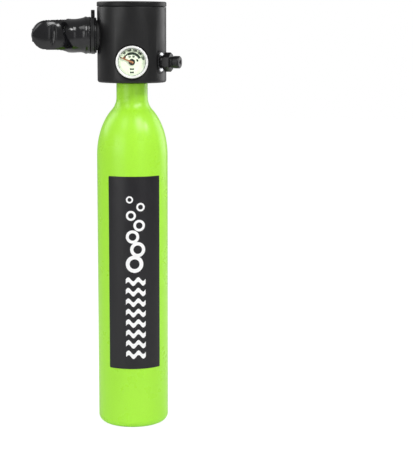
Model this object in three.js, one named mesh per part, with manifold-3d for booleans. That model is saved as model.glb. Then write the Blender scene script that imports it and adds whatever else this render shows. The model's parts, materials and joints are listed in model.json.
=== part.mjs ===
// Mini scuba tank: a half-litre gas cylinder with a breathing regulator built into its head.
// Millimetres, +Z up. The origin is the centre of the flat base. The gauge faces -Y, the
// mouthpiece points towards -X and the filling nipple towards +X.
import * as THREE from 'three';
import { mergeVertices } from 'three/addons/utils/BufferGeometryUtils.js';
import Module from 'manifold-3d';

const wasm = await Module();
wasm.setup();

// ---- Driving dimensions ----
const GAP = 0.3;                       // clearance kept between pieces that touch
const sidesFor = (r) => [[20, 32], [6, 24], [0, 12]].find(([above]) => r > above)[1];

const TANK = {
  r: 30, wall: 4.5, floor: 7, cornerR: 6.5,
  shoulderZ: 232, shoulderH: 47.2,     // the shoulder is a quarter ellipse on the straight wall
  neckR: 13.2, neckFillet: 16.2, neckTop: 293.1,
  boreR: 8.9, sealR: 11.6, sealDepth: 3.2,
};
const LABEL = { bottom: 52.5, top: 216.6, centre: 3.2, half: 44.8, thick: 0.25 };

const HEAD = { r: 29, bottom: 293.7, top: 356.4, edge: 2 };
const SPIGOT = { threadR: 8.5, plugR: 11, bottom: 276, top: 306, boreR: 1.5 };
const HP = { r: 4, top: 312.2, orificeR: 1, crownR: 2, crownTop: 315.2, portR: 1.2 };
const PISTON = { stemR: 3.4, headR: 10.2, stemBottom: 315.5, headBottom: 322.9, headTop: 325.9 };
const CAVITY = { r: 22, floor: 329, ledge: 348.5, ledgeR: 25.2 };

const COVER = { r: 29.2, top: 360.7, holeR: 17.5, skirtR: 24.9, skirtBottom: 351.1 };
const BUTTON = { r: 17.1, flangeR: 19, stemR: 3, stemBottom: 350 };

const GAUGE = { z: 311.3, azimuth: -90, pocketR: 14.2, pocket: 22.5, r: 12.9, needle: 158 };
const FILL = { z: 310.9, azimuth: -22, flat: 26.7, slotR: 8.5, slotHalf: 6.5, tip: 43.4, hex: 14 };
const BURST = { z: 311, azimuth: 70, spot: 27.4, hex: 12 };
const EXHAUST = { z: 338, azimuth: 90, spot: 27 };
const AMBIENT = { z: 319, r: 1.2, azimuths: [30, 150] };

const VALVE = { z: 337, r: 4.5, left: -7, right: 21, pivotX: 12, pivotZ: 342, pinR: 0.9 };

const OUTLET = { z: 332.9, azimuth: 180, outerR: 12.6, innerR: 10.5, start: 24.3, end: 39 };
const MOUTH = {
  low: 320.8, high: 345.2, tip: -82,   // the wings, seen from the side
  centreX: -78, depth: 28, halfWidth: 30, fullness: 2.6, wall: 3.5,
  throatY: 11.5, throatZ: 8.5, neckY: 15, neckZ: 13.1,
  tabBack: -64, tabHalf: 1.7, tabReach: 10.5, lugHalf: 5.5, lugWall: 2.4,
};
const TIE = { innerR: 14.5, outerR: 15.7, near: 30.9, far: 34, headTop: 353.9, headHalf: 2.9 };

// ---- Materials ----
const paint = (color, roughness, metalness) =>
  new THREE.MeshStandardMaterial({ color, roughness, metalness });
const LIME = paint(0xa6e742, 0.28, 0.3);
const BLACK_METAL = paint(0x17171b, 0.3, 0.6);
const BLACK_PLASTIC = paint(0x1b1b1f, 0.45, 0);
const BLACK_RUBBER = paint(0x141416, 0.5, 0);
const LABEL_VINYL = paint(0x26242d, 0.4, 0);
const STEEL = paint(0xc2c5c8, 0.25, 1);
const BRASS = paint(0xb99a57, 0.3, 1);
const BRONZE = paint(0x8b6a3e, 0.7, 0.8);
const COPPER = paint(0xb87349, 0.35, 1);
const WHITE_PLASTIC = paint(0xe8e8e4, 0.5, 0);
const DIAL = paint(0xdfeecb, 0.5, 0);
const NEEDLE = paint(0xd97a58, 0.5, 0);
const GLASS = new THREE.MeshStandardMaterial(
  { color: 0xf4f7f5, roughness: 0.05, metalness: 0, transparent: true, opacity: 0.3 });

// ---- Geometry and solids ----

// A closed geometry as a solid. Shared points are merged, flat triangles dropped, and a
// geometry that is wound inside out is turned over.
function solid(geometry) {
  const bare = geometry.clone();
  bare.deleteAttribute('normal');
  bare.deleteAttribute('uv');
  const merged = mergeVertices(bare, 1e-4);
  const index = merged.index.array;
  const triangles = [];
  for (let i = 0; i < index.length; i += 3) {
    const [a, b, c] = [index[i], index[i + 1], index[i + 2]];
    if (a !== b && b !== c && c !== a) triangles.push([a, b, c]);
  }
  const corner = [0, 1, 2].map(() => new THREE.Vector3());
  let volume = 0;
  for (const triangle of triangles) {
    triangle.forEach((v, k) => corner[k].fromBufferAttribute(merged.attributes.position, v));
    volume += corner[0].dot(corner[1].cross(corner[2]));
  }
  const wound = volume < 0 ? triangles.map(([a, b, c]) => [a, c, b]) : triangles;
  return new wasm.Manifold(new wasm.Mesh({
    numProp: 3,
    vertProperties: new Float32Array(merged.attributes.position.array),
    triVerts: new Uint32Array(wound.flat()),
  }));
}

const join = (...solids) => solids.reduce((all, one) => all.add(one));
const cut = (body, ...tools) => tools.reduce((rest, tool) => rest.subtract(tool), body);

// A shape turned about Z from [radius, height] points, listed anticlockwise. A profile that
// doesn't start on the axis is closed on itself.
function turnedGeometry(profile, sides = sidesFor(Math.max(...profile.map(([r]) => r)))) {
  const points = profile.map(([r, z]) => new THREE.Vector2(r, z));
  if (profile[0][0] > 0) points.push(points[0].clone());
  return new THREE.LatheGeometry(points, sides).rotateX(Math.PI / 2);
}
const turned = (profile, sides) => solid(turnedGeometry(profile, sides));

const rodGeometry = (r, low, high, sides) =>
  turnedGeometry([[0, low], [r, low], [r, high], [0, high]], sides);
const rod = (r, low, high, sides) => solid(rodGeometry(r, low, high, sides));
const ring = (inner, outer, low, high) =>
  turned([[inner, low], [outer, low], [outer, high], [inner, high]]);
const oRing = (r, wire, height) =>
  solid(new THREE.TorusGeometry(r, wire, 5, sidesFor(r)).translate(0, 0, height));

function block(x0, x1, y0, y1, z0, z1) {
  const box = new THREE.BoxGeometry(x1 - x0, y1 - y0, z1 - z0);
  return solid(box.translate((x0 + x1) / 2, (y0 + y1) / 2, (z0 + z1) / 2));
}

// A hexagon bar along Z with its corners chamfered at both ends.
function hexagon(acrossFlats, low, high) {
  const cornerR = acrossFlats / Math.sqrt(3);
  const chamfer = 0.5;
  const bar = rod(cornerR, low, high, 6);
  return bar.intersect(turned([[0, low], [cornerR - chamfer, low], [cornerR, low + chamfer],
    [cornerR, high - chamfer], [cornerR - chamfer, high], [0, high]], 24));
}

// An outline of [x, y] points pulled up along Z.
function prism(outline, low, high) {
  const shape = new THREE.Shape(outline.map(([x, y]) => new THREE.Vector2(x, y)));
  const extruded = new THREE.ExtrudeGeometry(shape, { depth: high - low, bevelEnabled: false });
  return extruded.translate(0, 0, low);
}

// A round wire of radius wire along a curve.
function wireAlong(curve, wire, steps, sides = 5) {
  const section = Array.from({ length: sides }, (_, i) => {
    const turn = (2 * Math.PI * i) / sides;
    return new THREE.Vector2(wire * Math.cos(turn), wire * Math.sin(turn));
  });
  return new THREE.ExtrudeGeometry(new THREE.Shape(section), { steps, extrudePath: curve });
}

class Helix extends THREE.Curve {
  constructor(r, low, high, turns) {
    super();
    Object.assign(this, { r, low, high, turns });
  }

  getPoint(t) {
    const angle = 2 * Math.PI * this.turns * t;
    const height = THREE.MathUtils.lerp(this.low, this.high, t);
    return new THREE.Vector3(this.r * Math.cos(angle), this.r * Math.sin(angle), height);
  }
}
const STEPS_PER_TURN = 10;
const coilGeometry = (r, wire, low, high, turns) =>
  wireAlong(new Helix(r, low, high, turns), wire, STEPS_PER_TURN * turns);

// ---- Scene graph ----
const tank = new THREE.Group();

// A radial port of the head: its local +Z points outwards and its local +X points down.
function radialPort({ azimuth, z }) {
  const port = new THREE.Group();
  port.rotation.set(0, Math.PI / 2, THREE.MathUtils.degToRad(azimuth), 'ZYX');
  port.position.set(0, 0, z);
  port.updateMatrixWorld();
  tank.add(port);
  return port;
}
const placed = (port, geometry) => solid(geometry.applyMatrix4(port.matrixWorld));

function add(name, body, material, parent = tank) {
  const { vertProperties, triVerts } = body.getMesh();
  const geometry = new THREE.BufferGeometry();
  geometry.setAttribute('position', new THREE.BufferAttribute(vertProperties, 3));
  geometry.setIndex(new THREE.BufferAttribute(triVerts, 1));
  geometry.computeVertexNormals();
  const mesh = new THREE.Mesh(geometry, material);
  mesh.name = name;
  parent.add(mesh);
}

const gaugePort = radialPort(GAUGE);
const fillPort = radialPort(FILL);
const burstPort = radialPort(BURST);
const exhaustPort = radialPort(EXHAUST);
const outletPort = radialPort(OUTLET);

// ---- Cylinder ----
const arc = (steps, from, to, point) =>
  Array.from({ length: steps + 1 }, (_, i) => point(from + ((to - from) * i) / steps));

// The angle on the shoulder ellipse where the neck fillet starts, found by halving.
function shoulderEnd() {
  let [low, high] = [0, Math.PI / 2];
  for (let i = 0; i < 40; i += 1) {
    const t = (low + high) / 2;
    const normal = new THREE.Vector2(Math.cos(t) / TANK.r, Math.sin(t) / TANK.shoulderH).normalize();
    const reach = TANK.r * Math.cos(t) + TANK.neckFillet * normal.x;
    if (reach > TANK.neckR + TANK.neckFillet) low = t;
    else high = t;
  }
  return low;
}

function cylinderShell() {
  const { r, wall, floor, cornerR, shoulderZ, shoulderH, neckR, neckFillet, neckTop } = TANK;
  const corner = arc(3, -Math.PI / 2, 0, (t) =>
    [r - cornerR + cornerR * Math.cos(t), cornerR + cornerR * Math.sin(t)]);
  const end = shoulderEnd();
  const shoulder = arc(7, 0, end, (t) => [r * Math.cos(t), shoulderZ + shoulderH * Math.sin(t)]);
  const slope = new THREE.Vector2(Math.cos(end) / r, Math.sin(end) / shoulderH).angle();
  const filletZ = shoulderZ + shoulderH * Math.sin(end) + neckFillet * Math.sin(slope);
  const fillet = arc(3, slope, 0, (t) =>
    [neckR + neckFillet - neckFillet * Math.cos(t), filletZ - neckFillet * Math.sin(t)]);
  const seat = neckTop - TANK.sealDepth;
  const [innerR, innerH] = [r - wall, shoulderH - wall];
  const innerEnd = Math.acos(TANK.boreR / innerR);
  const dome = arc(5, innerEnd, 0, (t) => [innerR * Math.cos(t), shoulderZ + innerH * Math.sin(t)]);
  const heel = arc(2, 0, -Math.PI / 2, (t) =>
    [innerR - cornerR + cornerR * Math.cos(t), floor + cornerR + cornerR * Math.sin(t)]);
  return turned([[0, 0], ...corner, ...shoulder, ...fillet.slice(1), [neckR, neckTop],
    [TANK.sealR, neckTop], [TANK.sealR, seat], [TANK.boreR, seat], ...dome, ...heel,
    [0, floor]]);
}
add('cylinder_shell', cylinderShell(), LIME);

function label() {
  const inner = TANK.r + GAP;
  const side = (r, from, to) => arc(10, from, to, (degrees) => {
    const turn = THREE.MathUtils.degToRad(degrees - 90);
    return [r * Math.cos(turn), r * Math.sin(turn)];
  });
  const [left, right] = [LABEL.centre - LABEL.half, LABEL.centre + LABEL.half];
  const outline = [...side(inner + LABEL.thick, left, right), ...side(inner, right, left)];
  return solid(prism(outline, LABEL.bottom, LABEL.top));
}
add('label', label(), LABEL_VINYL);

// ---- Joint between cylinder and head ----
add('neck_o_ring', oRing(10.1, 1.1, TANK.neckTop - 1.6), BLACK_RUBBER);

const flangeZ = TANK.neckTop + GAP;
const FILTER = { r: 3.7, bottom: 273.8, top: 278.6 };
add('neck_spigot', cut(
  join(rod(SPIGOT.threadR, SPIGOT.bottom, flangeZ + 1), rod(SPIGOT.plugR, flangeZ, SPIGOT.top)),
  rod(SPIGOT.boreR, SPIGOT.bottom - 1, SPIGOT.top + 1),
  rod(FILTER.r + GAP, SPIGOT.bottom - 1, FILTER.top + GAP),
), BRASS);
add('inlet_filter', turned([[0, FILTER.bottom], [FILTER.r - 1.2, FILTER.bottom],
  [FILTER.r, FILTER.bottom + 2], [FILTER.r, FILTER.top], [0, FILTER.top]]), BRONZE);

// ---- Head ----
const PISTON_BORE_R = PISTON.headR + GAP;
const STEM_BORE_R = PISTON.stemR + GAP;
const SLEEVE = { r: 5, top: 320.5, bottom: 316 };   // guides the piston stem inside the spring
const STEM_FLOOR = 314;

// Everything hollow on the head's own axis, from the spigot hole up to the cover's seat.
function headBore() {
  return turned([[0, HEAD.bottom - 1], [SPIGOT.plugR + GAP, HEAD.bottom - 1],
    [SPIGOT.plugR + GAP, SPIGOT.top + GAP], [HP.r, SPIGOT.top + GAP], [HP.r, HP.top],
    [HP.orificeR, HP.top], [HP.orificeR, HP.crownTop], [HP.crownR, HP.crownTop],
    [HP.crownR, STEM_FLOOR], [STEM_BORE_R, STEM_FLOOR], [STEM_BORE_R, SLEEVE.top],
    [SLEEVE.r, SLEEVE.top], [SLEEVE.r, SLEEVE.bottom], [PISTON_BORE_R, SLEEVE.bottom],
    [PISTON_BORE_R, CAVITY.floor], [CAVITY.r, CAVITY.floor], [CAVITY.r, CAVITY.ledge],
    [CAVITY.ledgeR, CAVITY.ledge], [CAVITY.ledgeR, HEAD.top + 1], [0, HEAD.top + 1]]);
}

// Stepped holes in a radial port, each a [radius, from, to] measured from the head's axis.
const steps = (port, holes) =>
  holes.map(([r, from, to]) => placed(port, rodGeometry(r, from, to)));

// The milled flat round the filling nipple: a slot with round ends.
function fillFlat() {
  const { slotR, slotHalf, flat } = FILL;
  const end = (from, y) => arc(8, from, from + Math.PI, (t) =>
    [slotR * Math.cos(t), y + slotR * Math.sin(t)]);
  return placed(fillPort, prism([...end(0, slotHalf), ...end(Math.PI, -slotHalf)], flat, HEAD.r + 3));
}

const OUTSIDE = HEAD.r + 3;
const FILL_THREAD_R = 4.6;
const GAUGE_THREAD_R = 4;
const BURST_THREAD_R = 4;

function headBody() {
  const { r, bottom, top, edge } = HEAD;
  const lowerEdge = arc(3, -Math.PI / 2, 0, (t) =>
    [r - edge + edge * Math.cos(t), bottom + edge + edge * Math.sin(t)]);
  const outside = turned([[0, bottom], ...lowerEdge, [r, top - 0.5], [r - 0.5, top], [0, top]]);
  const ambient = AMBIENT.azimuths.flatMap((azimuth) =>
    steps(radialPort({ azimuth, z: AMBIENT.z }), [[AMBIENT.r, 8, OUTSIDE]]));
  return cut(outside, headBore(), fillFlat(), ...ambient,
    ...steps(gaugePort, [[GAUGE.pocketR, GAUGE.pocket, OUTSIDE],
      [GAUGE_THREAD_R + GAP, 12.3, GAUGE.pocket + 1], [HP.portR, 2, 13]]),
    ...steps(fillPort, [[6.2, 25.2, FILL.flat + 1], [FILL_THREAD_R + GAP, 14, 26],
      [HP.portR, 2, 15]]),
    ...steps(burstPort, [[7.5, BURST.spot, OUTSIDE], [BURST_THREAD_R + GAP, 18, BURST.spot + 1],
      [HP.portR, 2, 19]]),
    ...steps(outletPort, [[OUTLET.outerR + GAP, OUTLET.start - GAP, OUTSIDE],
      [9.5, 13.5, OUTLET.start + 1]]),
    ...steps(exhaustPort, [[11.3, EXHAUST.spot, OUTSIDE], [9, 24.5, EXHAUST.spot + 1],
      [7.5, 18, 25]]));
}
add('head_body', headBody(), BLACK_METAL);

// ---- First stage: a piston that shuts the high-pressure orifice ----
const SEAT = { r: 2.4, bottom: 315.5, top: 317.2 };
const STEM_GROOVE = { r: 2.7, bottom: 318.6, top: 320 };
const HEAD_GROOVE = { r: 9.1, bottom: 323.7, top: 325.1 };

function pressurePiston() {
  const { stemR, headR, stemBottom, headBottom, headTop } = PISTON;
  const outside = turned([[0, stemBottom], [stemR, stemBottom], [stemR, STEM_GROOVE.bottom],
    [STEM_GROOVE.r, STEM_GROOVE.bottom], [STEM_GROOVE.r, STEM_GROOVE.top],
    [stemR, STEM_GROOVE.top], [stemR, headBottom], [headR, headBottom],
    [headR, HEAD_GROOVE.bottom], [HEAD_GROOVE.r, HEAD_GROOVE.bottom],
    [HEAD_GROOVE.r, HEAD_GROOVE.top], [headR, HEAD_GROOVE.top], [headR, headTop], [0, headTop]]);
  const crossHole = solid(rodGeometry(0.5, -5, 5, 6).rotateX(Math.PI / 2).translate(0, 0, 318));
  return cut(outside, rod(SEAT.r + 0.2, stemBottom - 1, SEAT.top + 0.2), rod(0.9, 317, headTop + 1),
    crossHole);
}
add('pressure_piston', pressurePiston(), BRASS);
add('piston_seat', rod(SEAT.r, SEAT.bottom, SEAT.top), WHITE_PLASTIC);
add('piston_stem_o_ring', oRing(3.2, 0.42, 319.3), BLACK_RUBBER);
add('piston_head_o_ring', oRing(9.8, 0.55, 324.4), BLACK_RUBBER);
add('piston_spring', solid(coilGeometry(7.7, 0.9, 317.3, 321.6, 2)), STEEL);

const CAP = { r: 13, bottom: 327, top: 332, boreR: 1.2, socketR: 3.5, socketZ: 329.6 };
add('first_stage_cap', turned([[CAP.boreR, CAP.bottom], [PISTON.headR, CAP.bottom],
  [PISTON.headR, CAVITY.floor + GAP], [CAP.r, CAVITY.floor + GAP], [CAP.r, CAP.top],
  [CAP.socketR, CAP.top], [CAP.socketR, CAP.socketZ], [CAP.boreR, CAP.socketZ]]), BRASS);

// ---- Second stage: the demand valve under the diaphragm ----
const alongX = (geometry) => geometry.rotateY(Math.PI / 2).translate(0, 0, VALVE.z);
const alongY = (geometry, x, z) => geometry.rotateX(Math.PI / 2).translate(x, 0, z);
const VALVE_BORE_R = 3.5;
const EAR = { left: 9.5, right: 14.5, inner: 3.6, outer: 5, top: 343.8 };

function demandValveBody() {
  const barrel = solid(alongX(rodGeometry(VALVE.r, VALVE.left, VALVE.right)));
  const foot = rod(CAP.socketR - GAP, CAP.socketZ + GAP, VALVE.z - 1);
  const ears = [1, -1].map((side) => {
    const [near, far] = [side * EAR.inner, side * EAR.outer].sort((a, b) => a - b);
    return block(EAR.left, EAR.right, near, far, VALVE.z - 1, EAR.top);
  });
  return cut(join(barrel, foot, ...ears),
    solid(alongX(rodGeometry(VALVE_BORE_R, 3.3, VALVE.right + 1))),
    solid(alongX(rodGeometry(1.2, -1, 4, 12))),
    rod(1.2, CAP.socketZ, VALVE.z, 12),
    block(EAR.left, EAR.right + 0.5, -EAR.inner + GAP, EAR.inner - GAP, VALVE.z, EAR.top),
    solid(alongY(rodGeometry(1.4, -6, 6, 12), 7, VALVE.z)),
    solid(alongY(rodGeometry(VALVE.pinR + GAP, -6, 6, 12), VALVE.pivotX, VALVE.pivotZ)));
}
add('demand_valve_body', demandValveBody(), BRASS);

const POPPET = { seatR: 2.8, left: 3.6, seatEnd: 5.6, stemR: 1.2, collar: 12.9, right: 14.1, collarR: 3 };
add('demand_poppet', solid(alongX(turnedGeometry([[0, POPPET.left], [POPPET.seatR, POPPET.left],
  [POPPET.seatR, POPPET.seatEnd], [POPPET.stemR, POPPET.seatEnd], [POPPET.stemR, POPPET.collar],
  [POPPET.collarR, POPPET.collar], [POPPET.collarR, POPPET.right], [0, POPPET.right]]))), STEEL);
add('poppet_spring', solid(alongX(coilGeometry(2.2, 0.35, 14.8, 18.0, 2))), STEEL);
add('poppet_adjuster', cut(solid(alongX(rodGeometry(VALVE_BORE_R - GAP, 18.7, VALVE.right))),
  block(VALVE.right - 1, VALVE.right + 1, -0.5, 0.5, VALVE.z - 5, VALVE.z + 5)), BRASS);
add('lever_pin', solid(alongY(rodGeometry(VALVE.pinR, -5.3, 5.3, 12), VALVE.pivotX, VALVE.pivotZ)),
  STEEL);

// The lever: a bent strip up to the diaphragm, a hub on the pin, and a fork behind the collar.
function demandLever() {
  const [strip, halfWidth] = [0.9, 2.5];
  const line = [[VALVE.pivotX, 343.3], [4, 346.2], [-1.5, 346.65]];
  const outline = [...line, ...line.map(([x, z]) => [x, z + strip]).reverse()];
  const arm = solid(prism(outline, -halfWidth, halfWidth).rotateX(Math.PI / 2));
  const hub = solid(alongY(rodGeometry(2.1, -2.6, 2.6, 16), VALVE.pivotX, VALVE.pivotZ));
  const prongs = [1.6, -2.6].map((y) =>
    block(VALVE.pivotX - 0.6, VALVE.pivotX + 0.6, y, y + 1, 336.2, VALVE.pivotZ));
  const pinHole = alongY(rodGeometry(VALVE.pinR + GAP, -4, 4, 12), VALVE.pivotX, VALVE.pivotZ);
  return cut(join(arm, hub, ...prongs), solid(pinHole));
}
add('demand_lever', demandLever(), STEEL);

// ---- Diaphragm, purge button and cover ----
const sheet = 0.7;
const ripple = [[8.3, 348.8], [14, 348.8], [17, 347.6], [20, 348.8], [25, 348.8]];
add('diaphragm', turned([...ripple, ...ripple.map(([r, z]) => [r, z + sheet]).reverse()]),
  BLACK_RUBBER);
add('diaphragm_plate', turned([[0, 348.1], [12.5, 348.1], [12.5, 348.5], [8, 348.5], [8, 349.5],
  [0, 349.5]]), WHITE_PLASTIC);

const circleOf = (count, r, place) => Array.from({ length: count }, (_, i) => {
  const turn = (2 * Math.PI * i) / count;
  return place(r * Math.cos(turn), r * Math.sin(turn));
});
const GUARD = { r: 24.9, bottom: 349.8, top: 350.8, holes: 6, holeR: 3.4, circle: 15.5 };
add('diaphragm_guard', cut(ring(4, GUARD.r, GUARD.bottom, GUARD.top),
  ...circleOf(GUARD.holes, GUARD.circle, (x, y) => solid(
    rodGeometry(GUARD.holeR, GUARD.bottom - 1, GUARD.top + 1, 12).translate(x, y, 0)))),
  BLACK_PLASTIC);
add('purge_spring', solid(coilGeometry(9, 0.5, 351.7, 357.6, 3)), STEEL);

const flangeTop = COVER.top - 3;
const buttonTop = COVER.top - 0.2;
add('purge_button', turned([[0, BUTTON.stemBottom], [BUTTON.stemR, BUTTON.stemBottom],
  [BUTTON.stemR, 358.6], [14.5, 358.6], [14.5, 356.2], [BUTTON.flangeR, 356.2],
  [BUTTON.flangeR, flangeTop], [BUTTON.r, flangeTop], [BUTTON.r, buttonTop - 1],
  [BUTTON.r - 0.9, buttonTop], [0, COVER.top]]), BLACK_PLASTIC);

const VENT = { count: 8, r: 0.8, circle: 20.3 };
function topCover() {
  const { r, top, holeR, skirtR, skirtBottom } = COVER;
  const under = HEAD.top + GAP;
  const plate = turned([[holeR, top - 2.7], [skirtR - 2.4, top - 2.7], [skirtR - 2.4, skirtBottom],
    [skirtR, skirtBottom], [skirtR, under], [r - 0.5, under], [r, under + 0.6], [r, top - 1],
    [r - 1, top], [holeR + 0.5, top], [holeR, top - 0.5]]);
  return cut(plate, ...circleOf(VENT.count, VENT.circle, (x, y) =>
    solid(rodGeometry(VENT.r, top - 4, top + 1, 6).translate(x, y, 0))));
}
add('top_cover', topCover(), BLACK_PLASTIC);

// ---- Pressure gauge, along its port's +Z ----
const CASE = { back: 22.9, front: 29.6, wall: 0.8 };
add('gauge_case', turned([[3, CASE.back], [GAUGE.r, CASE.back], [GAUGE.r, CASE.front],
  [GAUGE.r - CASE.wall, CASE.front], [GAUGE.r - CASE.wall, CASE.back + 1], [3, CASE.back + 1]],), BLACK_METAL, gaugePort);
add('gauge_stem', turned([[0.6, 12.6], [GAUGE_THREAD_R, 12.6], [GAUGE_THREAD_R, 18.6], [3.1, 18.6],
  [3.1, 20.4], [GAUGE_THREAD_R, 20.4], [GAUGE_THREAD_R, 22.5], [2.7, 22.5], [2.7, 25.4],
  [0.6, 25.4]]), BRASS, gaugePort);
add('gauge_o_ring', oRing(3.7, 0.5, 19.5), BLACK_RUBBER, gaugePort);

class DialArc extends THREE.Curve {
  getPoint(t) {
    const angle = THREE.MathUtils.degToRad(THREE.MathUtils.lerp(0, 250, t));
    return new THREE.Vector3(8.5 * Math.cos(angle), 8.5 * Math.sin(angle), 25.7);
  }
}
add('bourdon_tube', join(solid(wireAlong(new DialArc(), 0.8, 20)),
  block(3, 8.9, -0.9, 0.9, 24.9, 26.5)), COPPER, gaugePort);
add('gauge_dial', ring(0.8, 11.8, 27.9, 28.4), DIAL, gaugePort);

function gaugeNeedle() {
  const angle = THREE.MathUtils.degToRad(GAUGE.needle + 90);
  const pointer = prism([[-1.5, -0.7], [0.6, -0.9], [9.6, -0.3], [9.6, 0.3], [0.6, 0.9], [-1.5, 0.7]],
    28.8, 29.2);
  return join(rod(0.5, 27.2, 29, 12), rod(2.4, 28.7, 29.4), solid(pointer.rotateZ(angle)));
}
add('gauge_needle', gaugeNeedle(), NEEDLE, gaugePort);
add('gauge_lens', rod(12, 29.9, 30.8), GLASS, gaugePort);
add('gauge_bezel', turned([[12.3, 29.9], [13.3, 29.9], [13.3, 31], [12.9, 31.6], [12, 31.6],
  [11.6, 31.3], [11.6, 31.1], [12.3, 31.1]]), STEEL, gaugePort);

// ---- Filling nipple with its check valve ----
const FILL_BORE = { chamberR: 2.8, seat: 34, tipR: 1.5, start: 14.3 };
add('fill_valve_body', cut(
  join(turned([[0, FILL_BORE.start], [FILL_THREAD_R, FILL_BORE.start],
    [FILL_THREAD_R, FILL.flat + GAP], [5, FILL.flat + GAP], [5, 30], [4.6, 30.4], [4.6, 37.6],
    [5.2, 38.2], [5.2, 42.7], [4.7, FILL.tip], [0, FILL.tip]]), hexagon(FILL.hex, 29.5, 35.5)),
  rod(FILL_BORE.chamberR, FILL_BORE.start - 1, FILL_BORE.seat),
  rod(FILL_BORE.tipR, FILL_BORE.seat - 1, FILL.tip + 1)), BLACK_METAL, fillPort);
add('fill_valve_o_ring', oRing(5.35, 0.5, 26.1), BLACK_RUBBER, fillPort);
add('fill_poppet', turned([[0, 30.4], [2.3, 30.4], [2.3, 33], [1.2, 33.7], [0, 33.7]]), STEEL,
  fillPort);
add('fill_spring', solid(coilGeometry(1.7, 0.3, 20.7, 29.6, 4)), STEEL, fillPort);
add('fill_retainer', ring(1, 2.5, 17, 20), BRASS, fillPort);

// ---- Over-pressure plug ----
add('burst_disc', rod(3.9, 18.3, 18.7), COPPER, burstPort);
add('burst_plug', cut(join(rod(BURST_THREAD_R, 19, 28), hexagon(BURST.hex, BURST.spot + GAP, 31)),
  rod(1.2, 18, 30, 12), solid(rodGeometry(0.8, -8, 8, 8).rotateX(Math.PI / 2).translate(0, 0, 29.3)),
  solid(rodGeometry(0.8, -8, 8, 8).rotateY(Math.PI / 2).translate(0, 0, 29.3))), BRASS, burstPort);

// ---- Exhaust valve ----
const SPIDER = { r: 8.7, back: 24.8, front: 26, hubR: 1.2, holes: 6, holeR: 1.7, circle: 5.2 };
add('exhaust_spider', cut(ring(SPIDER.hubR, SPIDER.r, SPIDER.back, SPIDER.front),
  ...circleOf(SPIDER.holes, SPIDER.circle, (x, y) => solid(
    rodGeometry(SPIDER.holeR, SPIDER.back - 1, SPIDER.front + 1, 8).translate(x, y, 0)))),
  BLACK_PLASTIC, exhaustPort);
add('exhaust_flap', turned([[0, 22.4], [1.6, 22.4], [1.6, 23.2], [0.8, 23.2], [0.8, 26.3],
  [8.4, 26.3], [8.4, 26.8], [0, 26.8]]), BLACK_RUBBER, exhaustPort);

function exhaustCover() {
  const cup = turned([[9.2, EXHAUST.spot + GAP], [10.9, EXHAUST.spot + GAP], [10.9, 29.8],
    [10.1, 30.6], [0, 30.6], [0, 29.6], [9.2, 29.6]]);
  const slots = [-5.4, -1.8, 1.8, 5.4].map((x) => {
    const reach = Math.sqrt(8.4 ** 2 - x ** 2);
    return block(x - 0.8, x + 0.8, -reach, reach, 29, 31);
  });
  return cut(cup, ...slots);
}
add('exhaust_cover', exhaustCover(), BLACK_PLASTIC, exhaustPort);

// ---- Outlet tube, mouthpiece and its tie ----
add('outlet_tube', turned([[OUTLET.innerR, OUTLET.start], [OUTLET.outerR, OUTLET.start],
  [OUTLET.outerR, 25.3], [11.4, 25.3], [11.4, 26.9], [OUTLET.outerR, 26.9],
  [OUTLET.outerR, OUTLET.end], [OUTLET.innerR, OUTLET.end]]), BLACK_PLASTIC, outletPort);
add('outlet_o_ring', oRing(12.2, 0.5, 26.1), BLACK_RUBBER, outletPort);

// A D-shaped outline: half an ellipse that bulges towards +X, with straight ends to x = end.
function arch(depth, halfWidth, end) {
  const bent = (v) => Math.sign(v) * Math.abs(v) ** (2 / MOUTH.fullness);
  const curve = arc(16, -Math.PI / 2, Math.PI / 2, (t) =>
    [MOUTH.centreX + depth * bent(Math.cos(t)), halfWidth * bent(Math.sin(t))]);
  return [[end, -halfWidth], ...curve, [end, halfWidth]];
}
// The band between two such outlines, reach apart and starting inset within the outer one.
function horseshoe(inset, reach, end, low, high) {
  const outer = arch(MOUTH.depth - inset, MOUTH.halfWidth - inset, end);
  const inner = arch(MOUTH.depth - inset - reach, MOUTH.halfWidth - inset - reach, end);
  return solid(prism([...outer, ...inner.reverse()], low, high));
}
const ellipseAlongX = (halfY, halfZ, x0, x1) =>
  solid(rodGeometry(1, x0, x1).scale(halfZ, halfY, 1).rotateY(Math.PI / 2)
    .translate(0, 0, OUTLET.z));

function mouthpiece() {
  const { low, high, tip, wall, tabHalf, tabReach, lugHalf, lugWall, tabBack } = MOUTH;
  const collar = placed(outletPort, turnedGeometry([[0, 29.5], [15, 29.5], [15, 30.6], [14.2, 30.6],
    [14.2, 34.3], [15.6, 34.3], [15.6, 38], [13.2, 42.8], [0, 42.8]]));
  const inside = solid(prism(arch(MOUTH.depth - wall, MOUTH.halfWidth - wall, tip - 1), 300, 360));
  const neck = ellipseAlongX(MOUTH.neckY, MOUTH.neckZ, -60, -41).subtract(inside);
  const wingR = (high - low) / 2;
  const middle = (high + low) / 2;
  const side = [[-40, low], [-40, high], ...arc(12, Math.PI / 2, (3 * Math.PI) / 2, (t) =>
    [tip + wingR + wingR * Math.cos(t), middle + wingR * Math.sin(t)])];
  const sideView = solid(prism(side, -40, 40).rotateX(Math.PI / 2));
  const wings = horseshoe(0, wall, tip, low, high).intersect(sideView);
  const tabs = horseshoe(wall - 1, tabReach - wall + 1, tip + 1, middle - tabHalf, middle + tabHalf);
  const lugs = horseshoe(tabReach - lugWall, lugWall, tip + 2, middle - lugHalf, middle + lugHalf);
  const bite = join(tabs, lugs).intersect(block(tip, tabBack, -40, 40, low, high));
  const bore = placed(outletPort, rodGeometry(OUTLET.outerR + GAP, 29, OUTLET.end + GAP));
  const throat = ellipseAlongX(MOUTH.throatY, MOUTH.throatZ, -60, -38);
  return cut(join(collar, neck, wings, bite), bore, throat);
}
add('mouthpiece', mouthpiece(), BLACK_RUBBER);

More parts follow.
